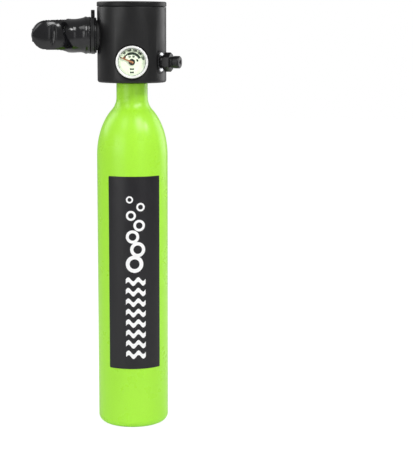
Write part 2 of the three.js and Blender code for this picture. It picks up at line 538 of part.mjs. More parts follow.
const tieBand = placed(outletPort, turnedGeometry([[TIE.innerR, TIE.near], [TIE.outerR, TIE.near],
  [TIE.outerR, TIE.far], [TIE.innerR, TIE.far]]));
const tieHead = block(-TIE.far, -TIE.near, -TIE.headHalf, TIE.headHalf,
  OUTLET.z + TIE.innerR + 0.6, TIE.headTop);
add('mouthpiece_tie', join(tieBand, tieHead), BLACK_PLASTIC);

export default tank;
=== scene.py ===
"""Mini scuba tank with a regulator head: its looks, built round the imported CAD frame.

Blender works in metres. The outlines below are in millimetres and are scaled by MM.
"""

import json
import math

import bmesh
import bpy
from mathutils import Matrix, Vector


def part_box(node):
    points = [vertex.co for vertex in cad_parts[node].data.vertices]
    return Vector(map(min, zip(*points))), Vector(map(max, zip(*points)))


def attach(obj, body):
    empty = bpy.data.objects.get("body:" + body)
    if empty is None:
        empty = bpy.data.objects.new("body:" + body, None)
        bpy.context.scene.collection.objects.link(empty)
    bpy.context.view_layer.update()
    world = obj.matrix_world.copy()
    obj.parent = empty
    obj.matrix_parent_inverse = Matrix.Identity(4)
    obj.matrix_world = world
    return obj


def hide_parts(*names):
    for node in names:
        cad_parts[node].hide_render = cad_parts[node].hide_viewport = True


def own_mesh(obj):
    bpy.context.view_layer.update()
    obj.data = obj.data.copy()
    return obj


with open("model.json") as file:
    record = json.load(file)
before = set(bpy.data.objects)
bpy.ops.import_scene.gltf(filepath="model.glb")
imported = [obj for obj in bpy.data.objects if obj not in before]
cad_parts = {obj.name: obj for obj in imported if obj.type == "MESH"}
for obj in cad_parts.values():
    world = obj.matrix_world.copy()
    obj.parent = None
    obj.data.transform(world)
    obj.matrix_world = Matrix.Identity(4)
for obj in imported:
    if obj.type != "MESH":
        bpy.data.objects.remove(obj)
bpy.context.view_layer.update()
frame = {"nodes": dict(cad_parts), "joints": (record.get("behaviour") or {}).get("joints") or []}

MM = 0.001
TAU = 2 * math.pi
FINE = 160  # sides of the large turned pieces
SHARP_ANGLE = 32  # degrees, above which an edge isn't shaded smooth
BEVEL_ANGLE = 38  # degrees, above which an edge is broken by a bevel


# ---- Where the frame puts things ----


def radial(direction, height):
    """A port of the head, in metres: local +Z points outwards along direction, +X down."""
    outward = Vector((direction[0], direction[1], 0)).normalized()
    down = Vector((0, 0, -1))
    side = outward.cross(down)
    port = Matrix((down, side, outward)).transposed().to_4x4()
    port.translation = (0, 0, height)
    return port


def at(x, y, z=0):
    """A port that stands upright at a point given in mm."""
    return Matrix.Translation((x * MM, y * MM, z * MM))


def middle(node):
    low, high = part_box(node)
    return (low + high) / 2


def span(node, port):
    """Where a node starts and ends along a port, and its greatest radius from it, in mm."""
    inverse = port.inverted()
    points = [(inverse @ v.co) / MM for v in frame["nodes"][node].data.vertices]
    heights = [p.z for p in points]
    return min(heights), max(heights), max(math.hypot(p.x, p.y) for p in points)


AXIS = Matrix.Identity(4)
inward = Vector(
    next(j["axis"] for j in frame["joints"] if j["name"] == "fill_poppet_travel")
)
GAUGE = radial((0, -1), middle("gauge_bezel").z)
FILL = radial(-inward, middle("fill_valve_body").z)
BURST = radial(middle("burst_disc"), middle("burst_disc").z)
EXHAUST = radial((0, 1), middle("exhaust_cover").z)
OUTLET = radial((-1, 0), middle("outlet_tube").z)


# ---- Meshes ----


def add_object(name, bm):
    """A mesh object from bm, in metres, shaded smooth except at its sharp edges."""
    mesh = bpy.data.meshes.new(name)
    bm.to_mesh(mesh)
    bm.free()
    obj = bpy.data.objects.new(name, mesh)
    bpy.context.scene.collection.objects.link(obj)
    shade(obj)
    return obj


def shade(obj, angle=SHARP_ANGLE):
    obj.data.shade_smooth()
    obj.data.set_sharp_from_angle(angle=math.radians(angle))


def rounded(corners, steps=5):
    """An outline from (x, y) or (x, y, fillet) corners in mm, each fillet drawn as an arc."""
    points = []
    for i, corner in enumerate(corners):
        here = Vector(corner[:2])
        fillet = corner[2] if len(corner) > 2 else 0
        if not fillet:
            points.append(tuple(here))
            continue
        before = (Vector(corners[i - 1][:2]) - here).normalized()
        after = (Vector(corners[(i + 1) % len(corners)][:2]) - here).normalized()
        half = before.angle(after) / 2
        centre = here + (before + after).normalized() * fillet / math.sin(half)
        start = here + before * fillet / math.tan(half) - centre
        end = here + after * fillet / math.tan(half) - centre
        turn = start.angle_signed(end)
        for k in range(steps + 1):
            points.append(tuple(centre + Matrix.Rotation(-turn * k / steps, 2) @ start))
    return points


def rectangle(x0, x1, y0, y1, corner):
    return rounded([(x0, y0, corner), (x1, y0, corner), (x1, y1, corner), (x0, y1, corner)])


def lathe(name, outline, port=AXIS, sides=FINE, squeeze=(1, 1)):
    """A closed solid turned about a port's +Z from an outline of (radius, height) in mm."""
    bm = bmesh.new()
    wide, deep = squeeze
    turns = [TAU * k / sides for k in range(sides)]
    rings = []
    for r, z in outline:
        if r < 1e-6:
            rings.append([bm.verts.new((0, 0, z))])
        else:
            rings.append([bm.verts.new((r * math.cos(t) * wide, r * math.sin(t) * deep, z))
                          for t in turns])
    for low, high in zip(rings, rings[1:] + rings[:1]):
        for k in range(sides):
            corners = [low[k % len(low)], low[(k + 1) % len(low)]]
            corners += [high[(k + 1) % len(high)], high[k % len(high)]]
            face = list(dict.fromkeys(corners))
            if len(face) > 2:
                bm.faces.new(face)
    bmesh.ops.recalc_face_normals(bm, faces=bm.faces)
    bmesh.ops.transform(bm, matrix=port @ Matrix.Scale(MM, 4), verts=bm.verts)
    return add_object(name, bm)


def rod(r, low, high, port=AXIS, sides=64):
    return lathe("tool", [(0, low), (r, low), (r, high), (0, high)], port, sides)


def prism(name, outline, low, high, port=AXIS):
    """A flat outline of (x, y) in mm pulled up from low to high along a port's +Z."""
    bm = bmesh.new()
    face = bm.faces.new([bm.verts.new((x, y, low)) for x, y in outline])
    raised = bmesh.ops.extrude_face_region(bm, geom=[face])["geom"]
    verts = [g for g in raised if isinstance(g, bmesh.types.BMVert)]
    bmesh.ops.translate(bm, vec=(0, 0, high - low), verts=verts)
    bmesh.ops.recalc_face_normals(bm, faces=bm.faces)
    bmesh.ops.transform(bm, matrix=port @ Matrix.Scale(MM, 4), verts=bm.verts)
    return add_object(name, bm)


def block(x0, x1, y0, y1, z0, z1):
    return prism("tool", [(x0, y0), (x1, y0), (x1, y1), (x0, y1)], z0, z1)


def loft(bm, loops):
    """Closes neighbouring loops of equally many vertices into a solid with flat ends."""
    for first, second in zip(loops, loops[1:]):
        for k in range(len(first)):
            j = (k + 1) % len(first)
            bm.faces.new((first[k], first[j], second[j], second[k]))
    bm.faces.new(loops[0])
    bm.faces.new(loops[-1])
    bmesh.ops.recalc_face_normals(bm, faces=bm.faces)


def apply_modifiers(obj):
    graph = bpy.context.evaluated_depsgraph_get()
    mesh = bpy.data.meshes.new_from_object(obj.evaluated_get(graph))
    obj.modifiers.clear()
    obj.data = mesh
    mesh.name = obj.name


def boolean(obj, operation, *tools):
    for tool in tools:
        modifier = obj.modifiers.new("boolean", "BOOLEAN")
        modifier.operation = operation
        modifier.solver = "EXACT"
        modifier.object = tool
        apply_modifiers(obj)
        bpy.data.objects.remove(tool)
    shade(obj)
    return obj


def cut(obj, *tools):
    return boolean(obj, "DIFFERENCE", *tools)


def join(obj, *tools):
    return boolean(obj, "UNION", *tools)


def heal(obj):
    """Closes the pinholes and welds the slivers that a bevel can leave at a corner."""
    bm = bmesh.new()
    bm.from_mesh(obj.data)
    bmesh.ops.remove_doubles(bm, verts=bm.verts, dist=0.001 * MM)
    bmesh.ops.dissolve_degenerate(bm, edges=bm.edges, dist=0.001 * MM)
    rims = [edge for edge in bm.edges if edge.is_boundary]
    bmesh.ops.holes_fill(bm, edges=rims, sides=12)
    bm.to_mesh(obj.data)
    bm.free()


def bevelled(obj, width, segments=2):
    """Breaks the sharp edges of a piece by a small round of width mm."""
    bm = bmesh.new()
    bm.from_mesh(obj.data)
    bmesh.ops.remove_doubles(bm, verts=bm.verts, dist=0.004 * MM)
    bm.to_mesh(obj.data)
    bm.free()
    modifier = obj.modifiers.new("bevel", "BEVEL")
    modifier.width = width * MM
    modifier.segments = segments
    modifier.limit_method = "ANGLE"
    modifier.angle_limit = math.radians(BEVEL_ANGLE)
    modifier.miter_outer = "MITER_ARC"
    modifier.harden_normals = False
    apply_modifiers(obj)
    heal(obj)
    shade(obj)
    return obj


def circle(count, r, place):
    """What place(x, y) makes at count points round a circle."""
    turns = [TAU * k / count for k in range(count)]
    return [place(r * math.cos(t), r * math.sin(t)) for t in turns]


def arc(steps, start, end, point):
    """What point(t) gives at even steps of t from start to end, both included."""
    return [point(start + (end - start) * k / steps) for k in range(steps + 1)]


# ---- Materials ----


class Finish:
    """A Principled material whose colour, roughness and relief vary by procedural noise."""

    def __init__(self, name, roughness, metallic=0.0, specular=0.5):
        self.material = bpy.data.materials.new(name)
        self.material.use_nodes = True
        self.tree = self.material.node_tree
        self.shader = self.tree.nodes["Principled BSDF"]
        self.shader.inputs["Roughness"].default_value = roughness
        self.shader.inputs["Metallic"].default_value = metallic
        self.shader.inputs["Specular IOR Level"].default_value = specular
        self.coords = self.tree.nodes.new("ShaderNodeTexCoord").outputs["Object"]

    def node(self, kind, **values):
        """A node of this kind, with values for its sockets or its own settings."""
        made = self.tree.nodes.new(kind)
        for key, value in values.items():
            if key in made.inputs:
                made.inputs[key].default_value = value
            else:
                setattr(made, key, value)
        return made

    def link(self, source, target):
        self.tree.links.new(source, target)

    def noise(self, scale, detail=3.0, stretch=(1, 1, 1)):
        """A noise value whose grain repeats scale times in a metre."""
        mapping = self.node("ShaderNodeMapping", Scale=stretch)
        texture = self.node("ShaderNodeTexNoise", Scale=scale, Detail=detail)
        self.link(self.coords, mapping.inputs["Vector"])
        self.link(mapping.outputs["Vector"], texture.inputs["Vector"])
        return texture.outputs["Fac"]

    def grains(self, scale):
        """A random tone for each of many small cells."""
        texture = self.node("ShaderNodeTexVoronoi", Scale=scale)
        self.link(self.coords, texture.inputs["Vector"])
        return texture.outputs["Color"]

    def ramp(self, value, low, high, start=0.3, end=0.7):
        """A colour from low to high as value goes from start to end."""
        ramp = self.node("ShaderNodeValToRGB")
        for stop, position, color in zip(ramp.color_ramp.elements, (start, end), (low, high)):
            stop.position = position
            stop.color = (*color, 1)
        self.link(value, ramp.inputs["Fac"])
        return ramp.outputs["Color"]

    def colour(self, low, high, scale):
        """Base colour between two close tones, by noise."""
        tone = self.ramp(self.noise(scale), low, high)
        self.link(tone, self.shader.inputs["Base Color"])
        return self

    def gloss(self, low, high, scale, stretch=(1, 1, 1)):
        """Roughness between two values, by noise."""
        spread = self.node("ShaderNodeMapRange")
        spread.inputs["From Min"].default_value = 0.3
        spread.inputs["From Max"].default_value = 0.7
        spread.inputs["To Min"].default_value = low
        spread.inputs["To Max"].default_value = high
        self.link(self.noise(scale, 4.0, stretch), spread.inputs["Value"])
        self.link(spread.outputs["Result"], self.shader.inputs["Roughness"])
        return self

    def relief(self, value, strength, depth):
        """Bump of about depth mm from a value; a second call lies on the first."""
        bump = self.node("ShaderNodeBump", Strength=strength, Distance=depth * MM)
        self.link(value, bump.inputs["Height"])
        normal = self.shader.inputs["Normal"]
        if normal.is_linked:
            self.link(normal.links[0].from_socket, bump.inputs["Normal"])
        self.link(bump.outputs["Normal"], normal)
        return self


def srgb(*channels):
    """Linear colour from 8-bit display values."""
    return tuple(
        c / 255 / 12.92 if c <= 10 else ((c / 255 + 0.055) / 1.055) ** 2.4 for c in channels
    )


def lime_enamel():
    """Green enamel with a fine flake in it."""
    paint = Finish("lime_enamel", 0.29, specular=0.45)
    tone = paint.ramp(paint.noise(14, 2), srgb(170, 240, 54), srgb(175, 244, 60))
    flake = paint.ramp(paint.grains(2600), (0.93, 0.93, 0.93), (1.0, 1.0, 1.0), 0.1, 0.6)
    blend = paint.node("ShaderNodeMix", data_type="RGBA", blend_type="MULTIPLY")
    blend.inputs["Factor"].default_value = 1.0
    paint.link(tone, blend.inputs["A"])
    paint.link(flake, blend.inputs["B"])
    paint.link(blend.outputs["Result"], paint.shader.inputs["Base Color"])
    paint.gloss(0.26, 0.32, 60)
    paint.relief(paint.noise(700, 2), 0.05, 0.05)
    return paint.material


def coating(name, roughness, specular, colour, gloss, *reliefs):
    """A non-metal with noise in its colour, its roughness and its relief."""
    surface = Finish(name, roughness, specular=specular)
    surface.colour(*colour)
    surface.gloss(*gloss)
    for grain, detail, strength, depth in reliefs:
        surface.relief(surface.noise(grain, detail), strength, depth)
    return surface.material


def moulding(name, low, high):
    """Black moulded plastic whose roughness goes from low to high."""
    tones = srgb(14, 14, 15), srgb(20, 20, 21), 45
    return coating(name, low, 0.5, tones, (low, high, 120), (3300, 3, 0.22, 0.03))


def nitrile():
    skin = Finish("black_nitrile", 0.5)
    skin.colour(srgb(18, 18, 18), srgb(28, 28, 28), 200)
    skin.relief(skin.noise(4000, 2), 0.15, 0.02)
    return skin.material


def ink(name, low, high, roughness=0.4):
    spread = roughness - 0.04, roughness + 0.06, 600
    return coating(name, roughness, 0.5, (low, high, 400), spread)


def metal(name, low, high, roughness, brushed=(1, 1, 1), grain=900, strength=0.08):
    surface = Finish(name, roughness, metallic=1.0)
    surface.colour(low, high, 120)
    surface.gloss(roughness - 0.05, roughness + 0.07, 400, brushed)
    surface.relief(surface.noise(grain, 3, brushed), strength, 0.02)
    return surface.material


def satin_silver():
    """Satin plating whose colour is raised close to white: the plating's own sheen, plus painted
    reflection of white surroundings.
    """
    plate = Finish("bezel_silver_painted_reflection", 0.3, metallic=0.25)
    plate.colour(srgb(246, 246, 244), srgb(252, 252, 250), 120)
    plate.gloss(0.26, 0.34, 400)
    plate.relief(plate.noise(1500, 2), 0.06, 0.02)
    return plate.material


def glass():
    """Clear acrylic that lets the lamps through to the dial behind it."""
    window = Finish("lens_acrylic", 0.03)
    window.shader.inputs["Base Color"].default_value = (1, 1, 1, 1)
    window.shader.inputs["Transmission Weight"].default_value = 1.0
    window.shader.inputs["IOR"].default_value = 1.3
    window.gloss(0.01, 0.05, 300)
    path = window.node("ShaderNodeLightPath")
    clear = window.node("ShaderNodeBsdfTransparent")
    mix = window.node("ShaderNodeMixShader")
    window.link(path.outputs["Is Shadow Ray"], mix.inputs["Fac"])
    window.link(window.shader.outputs["BSDF"], mix.inputs[1])
    window.link(clear.outputs["BSDF"], mix.inputs[2])
    window.link(mix.outputs["Shader"], window.tree.nodes["Material Output"].inputs["Surface"])
    return window.material


LIME = lime_enamel()
ANODISED = coating("black_anodised", 0.34, 0.41, (srgb(14, 14, 15), srgb(20, 20, 21), 30),
                   (0.33, 0.41, 90), (5200, 2, 0.10, 0.02))
MOULDING = moulding("black_moulding", 0.36, 0.46)
COVER = coating("cover_plastic", 0.4, 0.3, (srgb(9, 9, 10), srgb(14, 14, 15), 45),
                (0.36, 0.46, 120), (3300, 3, 0.16, 0.03))
INNER_MOULDING = moulding("inner_moulding", 0.45, 0.55)
NYLON = moulding("tie_nylon", 0.28, 0.36)
SILICONE = coating("black_silicone", 0.16, 0.55, (srgb(14, 14, 16), srgb(22, 22, 25), 60),
                   (0.12, 0.20, 140), (260, 2, 0.025, 0.12), (4200, 2, 0.06, 0.02))
NITRILE = nitrile()
VINYL = coating("label_vinyl", 0.3, 0.5, (srgb(12, 11, 15), srgb(17, 15, 21), 25),
                (0.30, 0.38, 80), (1500, 2, 0.06, 0.02))
WHITE_INK = ink("white_print", srgb(244, 244, 244), srgb(250, 250, 250))
DARK_INK = ink("dial_dark_print", srgb(4, 30, 14), srgb(8, 38, 20))
RED_INK = ink("dial_red_print", srgb(96, 44, 14), srgb(110, 52, 18))
# Grey for the ring of painted bezel shadow round the dial's edge.
BEZEL_SHADOW_PAINT = ink("dial_painted_bezel_shadow", srgb(176, 184, 176), srgb(188, 196, 188))
DIAL_FACE = ink("dial_face", srgb(232, 249, 214), srgb(240, 252, 226), 0.5)
NEEDLE_PAINT = ink("needle_paint", srgb(150, 100, 60), srgb(172, 120, 80))
HUB_PAINT = ink("hub_paint", srgb(14, 12, 12), srgb(22, 18, 18))
SEAT_POLYMER = ink("seat_polymer", srgb(226, 226, 220), srgb(236, 236, 232), 0.5)
# Near-white plating colour, partly painted reflection.
BEZEL_PAINTED_REFLECTION = satin_silver()
STEEL = metal("stainless_steel", srgb(188, 190, 193), srgb(206, 208, 210), 0.28, (1, 1, 14))
BRASS = metal("turned_brass", srgb(196, 160, 92), srgb(210, 174, 106), 0.28, (1, 1, 12))
BRONZE = metal("sintered_bronze", srgb(120, 92, 56), srgb(150, 116, 74), 0.6, grain=3000,
               strength=0.6)
COPPER = metal("copper_alloy", srgb(188, 120, 80), srgb(204, 134, 92), 0.32)
LENS = glass()


def piece(obj, material, body, slot, *nodes):
    """Gives a piece its material, the body that it rides on and the CAD nodes it stands for."""
    obj.data.materials.clear()
    obj.data.materials.append(material)
    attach(obj, body)
    if nodes:
        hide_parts(*nodes)
    return obj


# ---- Cylinder and label ----

TANK_WALL = 4.5
TANK_FLOOR = 7.0
HEEL_R = 6.5
SHOULDER_Z = 232.0
SHOULDER_H = 47.2
NECK_R = 13.2
NECK_FILLET = 16.2
BORE_R = 8.9
SEAL_R = 11.6
SEAL_DEPTH = 3.2
_, tank_high, tank_r = span("cylinder_shell", AXIS)


def shoulder_end():
    """The angle on the shoulder ellipse where the neck's fillet starts, found by halving."""
    low, high = 0.0, math.pi / 2
    for _ in range(40):
        t = (low + high) / 2
        normal = Vector((math.cos(t) / tank_r, math.sin(t) / SHOULDER_H)).normalized()
        if tank_r * math.cos(t) + NECK_FILLET * normal.x > NECK_R + NECK_FILLET:
            low = t
        else:
            high = t
    return low


def cylinder():
    """The gas cylinder with its wall: heel, side, elliptic shoulder, fillet and neck."""
    heel = arc(12, -math.pi / 2, 0, lambda t: (
        tank_r - HEEL_R + HEEL_R * math.cos(t), HEEL_R + HEEL_R * math.sin(t)))
    end = shoulder_end()
    shoulder = arc(48, 0, end, lambda t: (
        tank_r * math.cos(t), SHOULDER_Z + SHOULDER_H * math.sin(t)))
    slope = math.atan2(math.sin(end) / SHOULDER_H, math.cos(end) / tank_r)
    fillet_z = SHOULDER_Z + SHOULDER_H * math.sin(end) + NECK_FILLET * math.sin(slope)
    fillet = arc(20, slope, 0, lambda t: (
        NECK_R + NECK_FILLET - NECK_FILLET * math.cos(t), fillet_z - NECK_FILLET * math.sin(t)))
    seat = tank_high - SEAL_DEPTH
    inner_r, inner_h = tank_r - TANK_WALL, SHOULDER_H - TANK_WALL
    dome = arc(24, math.acos(BORE_R / inner_r), 0, lambda t: (
        inner_r * math.cos(t), SHOULDER_Z + inner_h * math.sin(t)))
    bowl = arc(8, 0, -math.pi / 2, lambda t: (
        inner_r - HEEL_R + HEEL_R * math.cos(t), TANK_FLOOR + HEEL_R + HEEL_R * math.sin(t)))
    rim = rounded([(NECK_R, tank_high - 2), (NECK_R, tank_high, 0.6), (SEAL_R, tank_high, 0.3),
                   (SEAL_R, seat), (BORE_R, seat)])
    sides = arc(12, HEEL_R, SHOULDER_Z, lambda z: (tank_r, z))[1:-1]
    outline = [(0, 0), *heel, *sides, *shoulder, *fillet[1:], *rim, *dome, *bowl, (0, TANK_FLOOR)]
    return lathe("tank_shell", outline, AXIS, 192)


piece(cylinder(), LIME, "tank", "lime_paint", "cylinder_shell")

# The label lies flat as (across, up) in mm, with across measured round the cylinder.
LABEL_FILM = 0.12
PRINT_FILM = 0.05
LABEL_CORNER = 0.8
LABEL_STEP = 0.8
label_low, label_high = (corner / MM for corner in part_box("label"))
label_r = tank_r + 0.04
label_outer_r = span("label", AXIS)[2]
label_left = math.asin(label_low.x / label_outer_r) * label_r
label_right = math.asin(label_high.x / label_outer_r) * label_r
label_bottom, label_top = label_low.z, label_high.z


def wrapped(name, outlines, low, high):
    """A film from radius low to high round the cylinder, bent from flat outlines."""
    bm = bmesh.new()
    for outline in outlines:
        bm.faces.new([bm.verts.new((x, z, 0)) for x, z in outline])
    xs = [v.co.x for v in bm.verts]
    for k in range(1, int((max(xs) - min(xs)) / LABEL_STEP)):
        bmesh.ops.bisect_plane(
            bm,
            geom=bm.verts[:] + bm.edges[:] + bm.faces[:],
            dist=1e-5,
            plane_co=(min(xs) + k * LABEL_STEP, 0, 0),
            plane_no=(1, 0, 0),
        )
    raised = bmesh.ops.extrude_face_region(bm, geom=bm.faces[:])["geom"]
    top = [g for g in raised if isinstance(g, bmesh.types.BMVert)]
    bmesh.ops.translate(bm, vec=(0, 0, 1), verts=top)
    for v in bm.verts:
        across, up, layer = v.co
        r = low + (high - low) * layer
        v.co = Vector((r * math.sin(across / label_r), -r * math.cos(across / label_r), up)) * MM
    bmesh.ops.recalc_face_normals(bm, faces=bm.faces)
    return add_object(name, bm)


def label():
    outline = rectangle(label_left, label_right, label_bottom, label_top, LABEL_CORNER)
    return wrapped("label_film", [outline], label_r, label_r + LABEL_FILM)


def wave(x, z, half_width, height, stroke):
    """A ribbon in the shape of two humps of a sine wave, centred at (x, z)."""
    def line(side):
        return [
            (x - half_width + 2 * half_width * k / 48,
             z + side * stroke / 2 + height * math.sin(TAU * 2 * k / 48))
            for k in range(49)
        ]
    return line(-1) + line(1)[::-1]


def bubble(x, z, r, stroke):
    """A ring as two half outlines, so that each stays a simple polygon."""
    def half(start):
        end = start + math.pi
        hole = r - stroke
        outer = arc(20, start, end, lambda t: (x + r * math.cos(t), z + r * math.sin(t)))
        inner = arc(20, end, start, lambda t: (x + hole * math.cos(t), z + hole * math.sin(t)))
        return outer + inner
    return [half(0), half(math.pi)]


def print_marks():
    """Generic water marks: a stack of waves with bubbles rising from it."""
    centre = (label_left + label_right) / 2 + 0.6
    half_width = 8.4
    first, pitch, count = label_bottom + 12.5, 9.0, 8
    waves = [wave(centre, first + pitch * k, half_width, 1.7, 4.0) for k in range(count)]
    bubbles = []
    height = first + pitch * count - 1.5
    for k, r in enumerate([7.4, 6.4, 5.6, 4.9, 4.2, 3.6, 3.0]):
        shift = (half_width - r) * (1 if k % 2 else -1) * 0.9
        bubbles += bubble(centre + shift, height + r, r, 0.44 * r)
        height += 1.72 * r + 0.6
    return wrapped("label_print", waves + bubbles, label_r + LABEL_FILM,
                   label_r + LABEL_FILM + PRINT_FILM)


piece(label(), VINYL, "tank", "label_vinyl", "label")
piece(print_marks(), WHITE_INK, "tank", "label_vinyl")

# ---- Head ----

head_low, head_high, head_r = span("head_body", AXIS)
SPIGOT_HOLE = 11.3
SPIGOT_TOP = 306.3
STAGE_R = 10.5
STAGE_FLOOR = 316
INLET_R = 4.0
CAVITY_R = 22.0
CAVITY_FLOOR = 329.0
LEDGE_Z = 348.5
LEDGE_R = 25.2
POCKET_R, POCKET_FLOOR = 14.2, 22.5
FILL_FLAT = 26.7
SLOT_R, SLOT_HALF = 8.5, 6.5
BURST_SPOT_R, BURST_FLAT = 7.5, 27.4
EXHAUST_SPOT_R, EXHAUST_FLAT = 11.3, 27.0
AMBIENT_R, AMBIENT_Z = 1.2, 0.319
OUTSIDE = head_r + 6


def head():
    """The regulator block: a turned body with its ports, flats and diaphragm chamber."""
    outline = rounded([(SPIGOT_HOLE, head_low, 0.4), (head_r, head_low, 2.0),
                       (head_r, head_high, 0.5), (LEDGE_R, head_high, 0.4), (LEDGE_R, LEDGE_Z),
                       (CAVITY_R, LEDGE_Z, 0.3), (CAVITY_R, CAVITY_FLOOR, 1.0),
                       (STAGE_R, CAVITY_FLOOR, 0.3), (STAGE_R, STAGE_FLOOR),
                       (INLET_R, STAGE_FLOOR), (INLET_R, SPIGOT_TOP), (SPIGOT_HOLE, SPIGOT_TOP)])
    body = lathe("regulator_head", outline, AXIS, 192)
    pocket = rounded([(0, POCKET_FLOOR), (POCKET_R, POCKET_FLOOR, 0.5), (POCKET_R, OUTSIDE),
                      (0, OUTSIDE)])
    slot = arc(24, 0, math.pi, lambda t: (SLOT_R * math.cos(t), SLOT_HALF + SLOT_R * math.sin(t)))
    slot += [(-x, -y) for x, y in slot]
    outlet_r = span("outlet_tube", OUTLET)[2] + 0.3
    ambient = [
        rod(AMBIENT_R, 12, OUTSIDE, radial((math.cos(t), math.sin(t)), AMBIENT_Z), 32)
        for t in (math.radians(30), math.radians(150))
    ]
    return cut(
        body,
        lathe("tool", pocket, GAUGE, 128),
        rod(4.3, 12.4, 24, GAUGE),
        prism("tool", slot, FILL_FLAT, OUTSIDE, FILL),
        rod(4.9, 14, 28, FILL),
        rod(BURST_SPOT_R, BURST_FLAT, OUTSIDE, BURST, 96),
        rod(4.3, 18, 28, BURST),
        rod(outlet_r, 24, OUTSIDE, OUTLET, 128),
        rod(9.5, 15, 25, OUTLET),
        rod(EXHAUST_SPOT_R, EXHAUST_FLAT, OUTSIDE, EXHAUST, 128),
        rod(9.0, 24.5, 28, EXHAUST, 96),
        rod(7.5, 18, 25, EXHAUST, 96),
        *ambient,
    )


piece(bevelled(head(), 0.25), ANODISED, "tank", "black_anodised", "head_body")

cover_low, cover_high, cover_r = span("top_cover", AXIS)
button_low, button_high, flange_r = span("purge_button", AXIS)
COVER_HOLE = 17.5
SKIRT_R = 24.9


def top_cover():
    """The screwed ring that holds the diaphragm, with a vent ring and spanner notches."""
    foot = head_high + 0.3
    outline = rounded([(COVER_HOLE, cover_high - 2.7), (22.5, cover_high - 2.7),
                       (22.5, cover_low), (SKIRT_R, cover_low), (SKIRT_R, foot),
                       (cover_r, foot, 0.5), (cover_r, cover_high, 1.1), (21.9, cover_high, 0.3),
                       (21.4, cover_high - 0.5, 0.3), (19.3, cover_high - 0.5, 0.3),
                       (18.8, cover_high, 0.3), (COVER_HOLE, cover_high, 0.4)])
    vents = circle(24, 20.35, lambda x, y: rod(
        0.75, cover_high - 4, cover_high + 1, at(x, y), 20))
    notches = circle(4, 25.6, lambda x, y: rod(
        1.3, cover_high - 1.5, cover_high + 1, at(x, y), 32))
    return cut(lathe("cover_ring", outline), *vents, *notches)


piece(bevelled(top_cover(), 0.12), COVER, "tank", "cover_plastic", "top_cover")


def purge_button():
    """A dished button with raised rings for grip, over its captive flange and stem."""
    rings = []
    for r in (12.6, 9.8, 7.0):
        rings += [(r + 0.9, button_high - 0.5, 0.2), (r + 0.45, button_high - 0.1, 0.15),
                  (r - 0.45, button_high - 0.1, 0.15), (r - 0.9, button_high - 0.5, 0.2)]
    outline = rounded([(0, button_low), (3.0, button_low, 0.5), (3.0, 358.6), (14.5, 358.6, 0.4),
                       (14.5, 356.2), (flange_r, 356.2, 0.2), (flange_r, 357.7, 0.2), (17.1, 357.7),
                       (17.1, button_high - 0.2, 0.7), (14.6, button_high - 0.2, 0.5),
                       *rings, (0, button_high - 0.6)], 4)
    return lathe("purge_cap", outline)


piece(purge_button(), MOULDING, "purge_button", "cover_plastic", "purge_button")

# ---- Pressure gauge ----

case_back, case_front, case_r = span("gauge_case", GAUGE)
bezel_back, bezel_front, bezel_r = span("gauge_bezel", GAUGE)
lens_back, lens_front, lens_r = span("gauge_lens", GAUGE)
dial_back, dial_front, dial_r = span("gauge_dial", GAUGE)
needle_back, needle_front, _ = span("gauge_needle", GAUGE)
ZERO_ANGLE = 158.0
FULL_ANGLE = 20.0
SCALE_STEPS = 5
TICKS_PER_STEP = 5
READING_STEP = 50
PRINT = 0.04
print_low = dial_front + 0.01
print_high = print_low + PRINT


def gauge_case():
    """The gauge's cup, with three shallow grooves round it."""
    ribs = []
    for z in (25.2, 26.6, 28.0):
        ribs += [(case_r, z - 0.35, 0.1), (case_r - 0.35, z, 0.1), (case_r, z + 0.35, 0.1)]
    outline = rounded([(3, case_back), (case_r, case_back, 0.5), *ribs, (case_r, case_front),
                       (case_r - 0.8, case_front), (case_r - 0.8, case_back + 1),
                       (3, case_back + 1)], 3)
    return lathe("gauge_housing", outline, GAUGE, 128)


def gauge_bezel():
    outline = rounded([(lens_r + 0.3, bezel_back), (bezel_r, bezel_back, 0.2),
                       (bezel_r, bezel_front - 0.2, 0.6), (lens_r + 0.1, bezel_front, 0.3),
                       (lens_r - 0.5, bezel_front - 0.4, 0.15), (lens_r - 0.4, lens_front + 0.2),
                       (lens_r + 0.3, lens_front + 0.2)])
    return lathe("gauge_ring", outline, GAUGE, 160)


def gauge_lens():
    """A window that swells by 0.28 mm towards its middle."""
    rim, swell = lens_front - 0.12, 0.28
    dome = arc(10, 0, 1, lambda t: (lens_r * (1 - t), rim + swell * (1 - (1 - t) ** 2)))
    return lathe("gauge_window", [(0, lens_back), (lens_r, lens_back), *dome], GAUGE, 128)


def dial_point(r, degrees):
    """A point of the dial in the gauge port's own x and y, at an angle seen from the front."""
    t = math.radians(degrees)
    return (-r * math.sin(t), r * math.cos(t))


def dial_band(name, inner, outer, start, end):
    """A printed arc between two angles."""
    outline = arc(40, start, end, lambda t: dial_point(outer, t))
    outline += arc(40, end, start, lambda t: dial_point(inner, t))
    return prism(name, outline, print_low, print_high, GAUGE)


def dial_text(name, words, height, r, degrees):
    """Dial numbers along the scale, as a thin closed mesh centred at radius r mm."""
    curve = bpy.data.curves.new(name, "FONT")
    curve.body = words
    curve.size = height * MM
    curve.extrude = PRINT * MM / 2
    curve.offset = 0.15 * MM
    curve.align_x = "CENTER"
    curve.align_y = "CENTER"
    text = bpy.data.objects.new(name, curve)
    bpy.context.scene.collection.objects.link(text)
    bpy.context.view_layer.update()
    graph = bpy.context.evaluated_depsgraph_get()
    bm = bmesh.new()
    bm.from_mesh(text.evaluated_get(graph).to_mesh())
    bpy.data.objects.remove(text)
    bmesh.ops.remove_doubles(bm, verts=bm.verts, dist=1e-6)
    turn = Matrix.Rotation(math.radians(degrees), 4, "Z")
    place = GAUGE @ turn @ at(0, r, print_low + PRINT / 2)
    bmesh.ops.transform(bm, matrix=place, verts=bm.verts)
    return add_object(name, bm)


def joined(name, parts):
    """Several separate closed meshes as one object."""
    bm = bmesh.new()
    for part in parts:
        bm.from_mesh(part.data)
        bpy.data.objects.remove(part)
    return add_object(name, bm)


